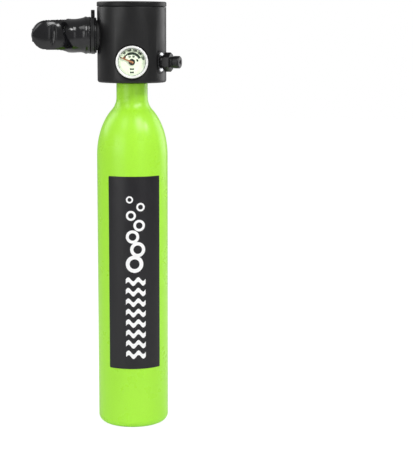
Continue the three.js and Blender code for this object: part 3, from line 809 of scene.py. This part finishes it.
def dial_print():
    """The dial's dark print: a heavy arc, ticks, two rows of numbers and two short bars."""
    sweep = FULL_ANGLE - ZERO_ANGLE
    marks = [dial_band("arc", 5.95, 8.0, 120, 25), dial_band("thin_arc", 6.7, 7.7, 137, 121)]
    ticks = SCALE_STEPS * TICKS_PER_STEP
    for k in range(ticks + 1):
        angle = ZERO_ANGLE + sweep * k / ticks
        length = 0.5 if k % TICKS_PER_STEP == 0 else 0.3
        marks.append(dial_band("tick", 8.1, 8.1 + length, angle + 0.5, angle - 0.5))
    for k in range(SCALE_STEPS + 1):
        angle = ZERO_ANGLE + sweep * k / SCALE_STEPS
        marks.append(dial_text("number", str(k * READING_STEP), 2.2, 9.5, angle))
    for value, angle in ((10, 115), (20, 74), (30, 17)):
        marks.append(dial_text("small_number", str(value), 1.9, 4.6, angle))
    for drop, half in ((5.75, 1.85), (8.4, 1.6)):
        outline = rectangle(drop - 0.6, drop + 0.6, -half, half, 0.2)
        marks.append(prism("bar", outline, print_low, print_high, GAUGE))
    return joined("dial_marks", marks)


def dial_rim():
    """A pale grey ring round the edge of the dial, just inside the bezel: painted shadow of the
    bezel on the dial.
    """
    inner, outer = 10.85, 11.35
    outline = [(inner, print_low), (outer, print_low), (outer, print_high), (inner, print_high)]
    return lathe("dial_bezel_shadow_ring", outline, GAUGE, 96)


def dial_plate():
    outline = rounded([(0.8, dial_back), (dial_r, dial_back), (dial_r, dial_front, 0.1),
                       (0.8, dial_front)])
    return lathe("dial_plate", outline, GAUGE, 96)


def needle():
    """A tapered pointer on its spindle, lying over the hub."""
    turn = GAUGE @ Matrix.Rotation(math.radians(ZERO_ANGLE) + math.pi / 2, 4, "Z")
    low, high = needle_front - 0.25, needle_front
    pointer = prism("pointer", rounded([(-1.5, -0.75, 0.6), (0.6, -0.75, 0.5), (9.6, -0.4, 0.3),
                                        (9.6, 0.4, 0.3), (0.6, 0.75, 0.5), (-1.5, 0.75, 0.6)]),
                    low, high, turn)
    return join(pointer, rod(0.5, needle_back, high - 0.1, GAUGE, 24))


def needle_hub():
    high = needle_front - 0.27
    return lathe("needle_hub", rounded([(0.6, high - 0.35), (2.65, high - 0.35), (2.65, high, 0.12),
                                        (0.6, high)]), GAUGE, 64)


piece(gauge_case(), ANODISED, "tank", "black_anodised", "gauge_case")
# The bezel's near-white colour is partly painted reflection of white surroundings.
piece(gauge_bezel(), BEZEL_PAINTED_REFLECTION, "tank", "bezel_metal", "gauge_bezel")
piece(gauge_lens(), LENS, "tank", "lens", "gauge_lens")
piece(dial_plate(), DIAL_FACE, "tank", "dial_print", "gauge_dial")
piece(dial_print(), DARK_INK, "tank", "dial_print")
piece(dial_band("dial_low_zone", 6.3, 8.0, 157, 138), RED_INK, "tank", "dial_print")
# The grey ring round the dial's edge is painted shadow of the bezel.
piece(dial_rim(), BEZEL_SHADOW_PAINT, "tank", "dial_print")
piece(needle(), NEEDLE_PAINT, "gauge_needle", "needle_paint", "gauge_needle")
piece(needle_hub(), HUB_PAINT, "gauge_needle", "needle_paint")

# ---- Filling nipple and over-pressure plug ----


def hexagon(across_flats, low, high, port):
    """A hexagon bar with turned chamfers on both ends."""
    sides, steps, chamfer, trim = 96, 6, 0.58, 0.9
    corner = across_flats / math.sqrt(3)
    levels = [low + chamfer * k / steps for k in range(steps + 1)]
    levels += [high - chamfer * (steps - k) / steps for k in range(steps + 1)]
    bm = bmesh.new()
    loops = []
    for z in levels:
        turned = corner - trim + min(z - low, high - z) / chamfer
        loop = []
        for k in range(sides):
            t = TAU * k / sides
            flat = across_flats / 2 / math.cos(t % (math.pi / 3) - math.pi / 6)
            r = min(flat, turned)
            loop.append(bm.verts.new(port @ (Vector((r * math.cos(t), r * math.sin(t), z)) * MM)))
        loops.append(loop)
    loft(bm, loops)
    return add_object("hexagon", bm)


def filling_nipple():
    """The filling nipple: a stem through the slot, a hexagon, a groove and a drilled tip."""
    start, tip, _ = span("fill_valve_body", FILL)
    outline = rounded([(0, start), (4.6, start), (4.6, 27), (5.0, 27), (5.0, 29.8), (4.6, 30),
                       (4.6, 37.4, 0.6), (5.2, 38.2, 0.3), (5.2, tip - 0.9, 0.5), (4.6, tip, 0.3),
                       (0, tip)])
    mouth = [(0, 33), (1.5, 33), (1.5, tip - 0.6), (2.2, tip + 0.1), (0, tip + 0.1)]
    body = join(lathe("filling_nipple", outline, FILL, 96), hexagon(14, 29.5, 35.5, FILL))
    body = cut(body, rod(2.8, start - 1, 34, FILL, 48), lathe("tool", mouth, FILL, 48))
    return bevelled(body, 0.12)


def machined_face():
    """The slot's floor, cut after anodising, so bare round the nipple."""
    return lathe("slot_face", [(5.6, FILL_FLAT), (7.8, FILL_FLAT), (7.8, FILL_FLAT + 0.06),
                               (5.6, FILL_FLAT + 0.06)], FILL, 96)


def burst_plug():
    """The over-pressure plug: a hexagon on a stem, with a bore that vents through two flats."""
    start, end, _ = span("burst_plug", BURST)
    seat, stem_end, vent, bore_end = 27.7, 28.5, 29.3, 30.2
    body = join(hexagon(12, seat, end, BURST), rod(4.0, start, stem_end, BURST, 64))
    across = BURST @ at(0, 0, vent) @ Matrix.Rotation(math.pi / 2, 4, "X")
    return cut(body, rod(1.2, start - 1, bore_end, BURST, 32), rod(0.8, -8, 8, across, 24))


piece(filling_nipple(), ANODISED, "tank", "black_anodised", "fill_valve_body")
piece(machined_face(), STEEL, "tank", "black_anodised")
piece(burst_plug(), BRASS, "tank", "brass", "burst_plug")


# ---- Exhaust cover ----


def exhaust_cover():
    """A shallow cap with a rounded edge and four slots across it."""
    start, end, r = span("exhaust_cover", EXHAUST)
    inner_r = 9.2
    edge_r, edge_h = 1.6, 1.1
    dome = arc(10, 0, math.pi / 2, lambda t: (
        r - edge_r + edge_r * math.cos(t), end - edge_h + edge_h * math.sin(t)))
    outline = [(inner_r, start), (r, start), *dome, (0, end), (0, end - 1), (inner_r, end - 1)]
    cup = lathe("exhaust_grille", outline, EXHAUST, 128)
    slots = []
    for x in (-5.4, -1.8, 1.8, 5.4):
        reach = math.sqrt(8.4**2 - x**2)
        outline = rectangle(x - 0.8, x + 0.8, -reach, reach, 0.75)
        slots.append(prism("tool", outline, end - 2, end + 1, EXHAUST))
    return bevelled(cut(cup, *slots), 0.15)


piece(exhaust_cover(), MOULDING, "tank", "cover_plastic", "exhaust_cover")

# ---- Outlet tube, mouthpiece and tie ----

tube_start, tube_end, tube_r = span("outlet_tube", OUTLET)
TUBE_BORE = 10.5
TUBE_GROOVE_R = 11.4


def outlet_tube():
    """The rigid tube under the mouthpiece, with the groove of its O-ring."""
    outline = rounded([(TUBE_BORE, tube_start), (tube_r, tube_start, 0.3), (tube_r, 25.3),
                       (TUBE_GROOVE_R, 25.3), (TUBE_GROOVE_R, 26.9), (tube_r, 26.9),
                       (tube_r, tube_end, 0.5), (TUBE_BORE, tube_end, 0.5)])
    return lathe("outlet_pipe", outline, OUTLET, 128)


piece(outlet_tube(), INNER_MOULDING, "tank", "inner_plastic", "outlet_tube")

mouth_low, mouth_high = (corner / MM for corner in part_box("mouthpiece"))
MOUTH_Z = middle("outlet_tube").z / MM
WING_TIP = mouth_low.x
WING_CENTRE = WING_TIP + 4
WING_DEPTH = 28.0
WING_FULLNESS = 2.6
WING_HALF = mouth_high.y
WING_WALL = 3.5
LOBE_R = 12.35
LOBE_Z = 333.1
TAB_REACH, TAB_HALF, TAB_BACK = 8.0, 1.7, -64
LUG_INSET, LUG_WALL, LUG_HALF, LUG_BACK = 8.1, 2.4, 5.5, -66
THROAT_Y, THROAT_Z = 11.5, 8.5
VOXEL = 0.5
SMOOTH_ROUNDS = 9
SOFT_ANGLE = 50

# Stations of the soft body from its collar to the lip shield: X, half width of the neck and
# of the shield, lowest and highest z, and how square the section's sides are.
STATIONS = [
    (-38.0, 15.0, 15.0, 318.2, 348.0, 2.0),
    (-41.0, 14.7, 14.7, 318.6, 347.4, 2.0),
    (-44.0, 14.4, 14.4, 318.6, 346.8, 2.0),
    (-47.0, 14.8, 15.2, 318.4, 346.4, 2.1),
    (-50.0, 16.2, 17.4, 318.3, 346.4, 2.3),
    (-53.0, 18.0, 20.8, 318.5, 346.7, 3.4),
    (-57.0, 20.6, 24.2, 319.1, 347.1, 7.0),
    (-61.0, 23.6, 26.6, 319.2, 347.3, 11.0),
    (-66.0, 27.0, 28.5, 318.9, 347.4, 14.0),
    (-72.0, 29.4, 29.6, 318.8, 347.4, 15.0),
    (-90.0, 29.9, 29.9, 318.8, 347.4, 15.0),
]
CROWN = 2.3  # how square the section's top and bottom are
CROWN_DEPTH = 1.3  # how far the shield draws in there


def station(x):
    """The section at x, smoothly between the two stations on either side of it."""
    k = next(i for i in range(1, len(STATIONS)) if x >= STATIONS[i][0])
    (x0, *first), (x1, *second) = STATIONS[k - 1], STATIONS[k]
    before = STATIONS[max(k - 2, 0)]
    after = STATIONS[min(k + 1, len(STATIONS) - 1)]
    t = (x - x0) / (x1 - x0)
    values = []
    for i, (v0, v1) in enumerate(zip(first, second), 1):
        slope0 = (v1 - before[i]) / (x1 - before[0]) * (x1 - x0)
        slope1 = (after[i] - v0) / (after[0] - x0) * (x1 - x0)
        values.append(
            (2 * t**3 - 3 * t**2 + 1) * v0 + (t**3 - 2 * t**2 + t) * slope0
            + (-2 * t**3 + 3 * t**2) * v1 + (t**3 - t**2) * slope1
        )
    return values


def smooth_step(value):
    t = min(1.0, max(0.0, value))
    return t * t * (3 - 2 * t)


def shield_share(x, z):
    """0 on the neck and 1 on the lip shield, either side of the slanting crease between them."""
    drop = (338.5 - z) / 18
    crease = -56.0 + (1.5 * drop + 7.0 * drop * drop if drop > 0 else 0.0)
    width = 1.4 + (4.0 * min(1.0, -drop * 4) if drop < 0 else 0.0)
    return smooth_step((crease - x) / width + 0.5)


def groove(x, z):
    """How far the side is pressed in behind the lobe."""
    level = (z - LOBE_Z) / LOBE_R
    across = (x - (-64.4 + 0.8 * level - 1.2 * level * level)) / 1.3
    fade = max(0.0, 1 - abs(level + 0.12) ** 3 / 0.5)
    return 1.5 * fade * math.exp(-across * across)


def soft_body():
    """The flowing outer skin from neck to lip shield, solid for now."""
    bm = bmesh.new()
    around = 160
    line = [-39 - 0.4 * k for k in range(77)]
    last = line[-1]
    line += [last - (last - WING_TIP) * math.sin(math.pi / 2 * k / 24) for k in range(1, 25)]
    middle_x = WING_TIP + LOBE_R
    loops = []
    for x in line:
        neck_half, shield_half, low, high, side_power = station(x)
        centre, rise = (low + high) / 2, (high - low) / 2
        if x < middle_x:
            rise *= max(0.015, math.sqrt(max(0.0, 1 - ((middle_x - x) / LOBE_R) ** 2)))
        loop = []
        for k in range(around):
            t = TAU * k / around
            z = math.copysign(abs(math.sin(t)) ** (2 / CROWN), math.sin(t)) * rise + centre
            half = neck_half + (shield_half - neck_half) * shield_share(x, z)
            reach = abs(math.cos(t)) ** (2 / side_power)
            y = reach * half - groove(x, z) * min(1.0, 2 * reach)
            y -= CROWN_DEPTH * shield_share(x, z) * math.sin(t) ** 2 * reach
            loop.append(bm.verts.new((x, math.copysign(y, math.cos(t)), z)))
        loops.append(loop)
    loft(bm, loops)
    bmesh.ops.scale(bm, vec=(MM, MM, MM), verts=bm.verts)
    return add_object("mouthpiece_body", bm)


def bent(value):
    """Squares up the circle that a sine or cosine draws into the horseshoe's plan."""
    return math.copysign(abs(value) ** (2 / WING_FULLNESS), value)


def arch_line(inset):
    """Plan points of the horseshoe, inset mm within its outer face."""
    depth, half = WING_DEPTH - inset, WING_HALF - inset
    side = [(WING_TIP + step, -half) for step in (0.02, 1.2, 2.6)]
    bow = arc(72, -math.pi / 2, math.pi / 2, lambda t: (
        WING_CENTRE + depth * bent(math.cos(t)), half * bent(math.sin(t))))
    return side + bow + [(x, -y) for x, y in reversed(side)]


def plan_band(inset, reach, half, back):
    """Level slabs behind the teeth line, one a side, cut off square at x = back."""
    outer = [p for p in arch_line(inset) if p[0] < back]
    inner = [p for p in arch_line(inset + reach) if p[0] < back]
    slabs = []
    for side in (-1, 1):
        near = [p for p in outer if p[1] * side > 0]
        far = [p for p in inner if p[1] * side > 0]
        slabs.append(prism("tool", near + far[::-1], MOUTH_Z - half, MOUTH_Z + half))
    return slabs


def oval(half_y, half_z, x0, x1):
    """An oval rod along X."""
    port = radial((-1, 0), MOUTH_Z * MM)
    return lathe("tool", [(0, -x1), (1, -x1), (1, -x0), (0, -x0)], port, 96, (half_z, half_y))


def collar():
    """The ribbed collar that the tie clamps, as a solid."""
    outline = rounded([(0, 29.5), (15.0, 29.5, 0.4), (15.0, 30.6), (14.2, 30.6), (14.2, 34.3),
                       (15.5, 34.3, 0.4), (15.5, 35.3, 0.4), (15.1, 35.7, 0.3), (15.1, 37.4, 0.3),
                       (15.6, 37.9, 0.4), (15.6, 39.0, 0.5), (14.9, 39.6, 0.4), (14.2, 42.5, 1.0),
                       (12.0, 44), (0, 44)])
    return lathe("tool", outline, OUTLET, 128)


def inside_mouth():
    """The room between the wings, which opens past their tips."""
    outline = arch_line(WING_WALL)
    outline[0] = (WING_TIP - 2, outline[0][1])
    outline[-1] = (WING_TIP - 2, outline[-1][1])
    return prism("tool", outline, 300, 370)


def remeshed(obj):
    """Fuses overlapping closed parts into one skin and softens every inner corner."""
    remesh = obj.modifiers.new("remesh", "REMESH")
    remesh.mode = "VOXEL"
    remesh.voxel_size = VOXEL * MM
    smooth = obj.modifiers.new("smooth", "SMOOTH")
    smooth.factor = 0.5
    smooth.iterations = SMOOTH_ROUNDS
    apply_modifiers(obj)
    return obj


def mouthpiece():
    """Soft bite mouthpiece: collar, oval neck, lip shield, two bite tabs with lugs, open throat."""
    body = cut(join(soft_body(), collar()), inside_mouth())
    tabs = plan_band(WING_WALL - 1, TAB_REACH, TAB_HALF, TAB_BACK)
    lugs = plan_band(LUG_INSET, LUG_WALL, LUG_HALF, LUG_BACK)
    throat = oval(THROAT_Y, THROAT_Z, -62, -38)
    body = cut(join(body, *tabs, *lugs), throat, rod(12.4, 20, 39.0, OUTLET, 128))
    body = cut(remeshed(body), rod(tube_r + 0.15, 20, tube_end + 0.2, OUTLET, 128))
    shade(body, SOFT_ANGLE)
    return body


piece(mouthpiece(), SILICONE, "tank", "mouth_silicone", "mouthpiece")


def tie():
    """A ratchet tie: a band, its square lock with a window, and the cut tail."""
    near, far, _ = span("mouthpiece_tie", OUTLET)
    band_r, outer_r = 14.5, 14.5 + 1.15
    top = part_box("mouthpiece_tie")[1].z / MM
    outline = rounded([(band_r, near, 0.2), (outer_r, near, 0.3), (outer_r, far, 0.3),
                       (band_r, far, 0.2)])
    band = lathe("collar_tie", outline, OUTLET, 160)
    base = MOUTH_Z + band_r + 0.5
    lock = bevelled(block(-far, -near, -2.9, 2.9, base, top), 0.5, 3)
    window = block(-far + 0.8, -near - 0.8, -3.5, 1.2, base + 1.9, top - 1.5)
    pocket = block(-far + 0.9, -near - 0.9, -1.6, 1.6, top - 0.9, top + 1)
    tail = bevelled(block(-far + 0.95, -near - 0.95, -4.6, 0, base + 2.1, base + 3.0), 0.2)
    return join(cut(join(band, lock), window, pocket), tail)


piece(tie(), NYLON, "tank", "tie_nylon", "mouthpiece_tie")

# ---- CAD nodes that stay as they are ----

KEPT = {
    STEEL: ["demand_poppet", "demand_lever", "lever_pin", "fill_poppet",
            "piston_spring", "poppet_spring", "purge_spring", "fill_spring"],
    BRASS: ["neck_spigot", "pressure_piston", "first_stage_cap", "demand_valve_body",
            "poppet_adjuster", "gauge_stem", "fill_retainer"],
    BRONZE: ["inlet_filter"],
    COPPER: ["bourdon_tube", "burst_disc"],
    SEAT_POLYMER: ["piston_seat", "diaphragm_plate"],
    INNER_MOULDING: ["diaphragm_guard", "exhaust_spider"],
    NITRILE: ["neck_o_ring", "piston_stem_o_ring", "piston_head_o_ring", "gauge_o_ring",
              "fill_valve_o_ring", "outlet_o_ring", "diaphragm", "exhaust_flap"],
}
for material, nodes in KEPT.items():
    for node in nodes:
        node_mesh = frame["nodes"][node].data
        node_mesh.materials.clear()
        node_mesh.materials.append(material)

# The springs that shorten: node, joint, the way it stands on its fixed end, that end in mm,
# length and stroke in mm.
SPRINGS = (
    ("purge_spring", "purge_press", (0, 0, 1), (0, 0, 351.2), 6.9, 3.0),
    ("poppet_spring", "purge_press", (-1, 0, 0), (18.4, 0, 337.0), 3.9, 1.25),
    ("fill_spring", "fill_poppet_travel", (0.9271839, -0.3746066, 0), (18.9, -7.6, 310.9),
     9.5, 1.2),
)
for spring, joint, stance, fixed, length, stroke in SPRINGS:
    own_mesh(frame["nodes"][spring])

# ---- Stage: floor, lights and camera ----

FLOOR_RADIUS = 4
FLOOR_SHARE = 0.8  # how much of what the camera sees of the floor is plain white
FLOOR_WHITE = 1.18
WORLD_GREY = 0.33
AIM = Vector((0, 0, 0.25))

# Soft panels: name, azimuth in degrees from the front towards +X, height, distance, width and
# length in m, power in W.
SOFTBOXES = (
    ("key_left", -38, 1.2, 0.95, 0.5, 0.5, 2.2),
    ("key_right", 34, 1.2, 0.95, 0.5, 0.5, 6.6),
    ("glint", 60, 0.95, 1.0, 0.26, 0.18, 2.6),
    ("strip_left", -44, 0.45, 1.2, 0.8, 0.6, 3.1),
    ("strip_right", 30, 0.45, 1.2, 0.36, 0.6, 0.6),
    ("rim_left", -114, 0.58, 0.5, 0.3, 0.46, 1.1),
    ("rim_right", 124, 0.42, 0.9, 0.55, 0.6, 2.0),
)
LENS_MM = 105.97
CAMERA_AT = (0, -1.1515, 0.3394)
YAW, PITCH, ROLL = 0.055, 0.1483, 0.0029


def floor():
    """A wide pale floor, washed almost to white where the camera sees it straight."""
    bm = bmesh.new()
    bmesh.ops.create_circle(bm, cap_ends=True, radius=FLOOR_RADIUS, segments=128)
    disc = add_object("floor", bm)
    pale = Finish("pale_floor", 0.6, specular=0.2)
    pale.colour((0.90, 0.90, 0.90), (0.92, 0.92, 0.92), 6)
    white = pale.node("ShaderNodeEmission", Strength=FLOOR_WHITE)
    path = pale.node("ShaderNodeLightPath")
    share = pale.node("ShaderNodeMath", operation="MULTIPLY")
    share.inputs[1].default_value = FLOOR_SHARE
    mix = pale.node("ShaderNodeMixShader")
    pale.link(path.outputs["Is Camera Ray"], share.inputs[0])
    pale.link(share.outputs["Value"], mix.inputs["Fac"])
    pale.link(pale.shader.outputs["BSDF"], mix.inputs[1])
    pale.link(white.outputs["Emission"], mix.inputs[2])
    pale.link(mix.outputs["Shader"], pale.tree.nodes["Material Output"].inputs["Surface"])
    disc.data.materials.append(pale.material)


def softbox(name, azimuth, height, distance, width, tall, power):
    """A rectangular area light that faces AIM."""
    light = bpy.data.lights.new(name, "AREA")
    light.shape = "RECTANGLE"
    light.size = width
    light.size_y = tall
    light.energy = power
    panel = bpy.data.objects.new(name, light)
    turn = math.radians(azimuth)
    panel.location = (distance * math.sin(turn), -distance * math.cos(turn), height)
    panel.rotation_mode = "QUATERNION"
    panel.rotation_quaternion = (AIM - panel.location).to_track_quat("-Z", "Y")
    bpy.context.scene.collection.objects.link(panel)


def surroundings():
    """White to the camera, dim grey to everything that reflects it."""
    world = bpy.data.worlds.new("studio")
    world.use_nodes = True
    tree = world.node_tree
    white = tree.nodes["Background"]
    white.inputs["Color"].default_value = (1, 1, 1, 1)
    grey = tree.nodes.new("ShaderNodeBackground")
    grey.inputs["Color"].default_value = (WORLD_GREY, WORLD_GREY, WORLD_GREY, 1)
    path = tree.nodes.new("ShaderNodeLightPath")
    mix = tree.nodes.new("ShaderNodeMixShader")
    tree.links.new(path.outputs["Is Camera Ray"], mix.inputs["Fac"])
    tree.links.new(grey.outputs["Background"], mix.inputs[1])
    tree.links.new(white.outputs["Background"], mix.inputs[2])
    tree.links.new(mix.outputs["Shader"], tree.nodes["World Output"].inputs["Surface"])
    bpy.context.scene.world = world


def camera():
    """A long lens in front of the head, turned a little right and tipped down."""
    lens = bpy.data.cameras.new("camera")
    lens.sensor_width = 36
    lens.lens = LENS_MM
    viewer = bpy.data.objects.new("camera", lens)
    bpy.context.scene.collection.objects.link(viewer)
    level = math.cos(PITCH)
    ahead = Vector((math.sin(YAW) * level, math.cos(YAW) * level, -math.sin(PITCH)))
    right = ahead.cross(Vector((0, 0, 1))).normalized()
    up = right.cross(ahead)
    upright = Matrix((right, up, -ahead)).transposed()
    viewer.rotation_mode = "QUATERNION"
    viewer.rotation_quaternion = (upright @ Matrix.Rotation(ROLL, 3, "Z")).to_quaternion()
    viewer.location = CAMERA_AT
    bpy.context.scene.camera = viewer


floor()
for box in SOFTBOXES:
    softbox(*box)
surroundings()
camera()
bpy.context.scene.view_settings.view_transform = "Standard"
